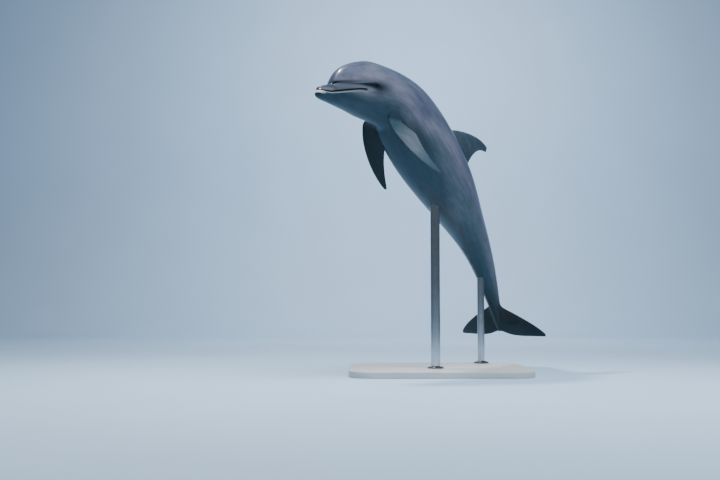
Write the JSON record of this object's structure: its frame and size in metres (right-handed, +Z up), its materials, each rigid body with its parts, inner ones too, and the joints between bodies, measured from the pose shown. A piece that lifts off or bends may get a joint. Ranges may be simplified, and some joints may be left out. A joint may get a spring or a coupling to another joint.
{
  "type": "bottlenose dolphin",
  "caption": "Life-size still model of a bottlenose dolphin in mid leap, head to the upper left and tail down, held by upright rods on a flat display base.",
  "frame": {"origin": "middle of the whole outline seen from above, on the floor under the display base", "axes": "+Z up; +X to the right of the picture, so the snout points to -X and the tail lies at +X; +Y away from the camera, and the animal's left side faces -Y"},
  "size_m": [1.5215, 1.5289, 1.8453],
  "materials": {
    "skin_head": "wet blue-grey skin",
    "skin_jaw": "wet pale grey skin",
    "skin_flank": "wet blue-grey skin, darker back and paler belly",
    "skin_tail": "wet dark grey skin",
    "skin_fin": "wet dark grey skin",
    "eye": "very dark brown, glossy",
    "stand_base": "satin paint",
    "stand_rod": "brushed"
  },
  "bodies": {
    "root": {"head": "skin_head", "lower_jaw": "skin_jaw", "trunk": "skin_flank", "tail_stock": "skin_flank", "tail_end": "skin_tail", "dorsal_fin": "skin_fin", "flipper_left": "skin_fin", "flipper_right": "skin_fin", "fluke_left": "skin_fin", "fluke_right": "skin_fin", "eye_left": "eye", "eye_right": "eye", "stand_base": "stand_base", "stand_rod_belly": "stand_rod", "stand_rod_tail": "stand_rod"}
  },
  "joints": []
}
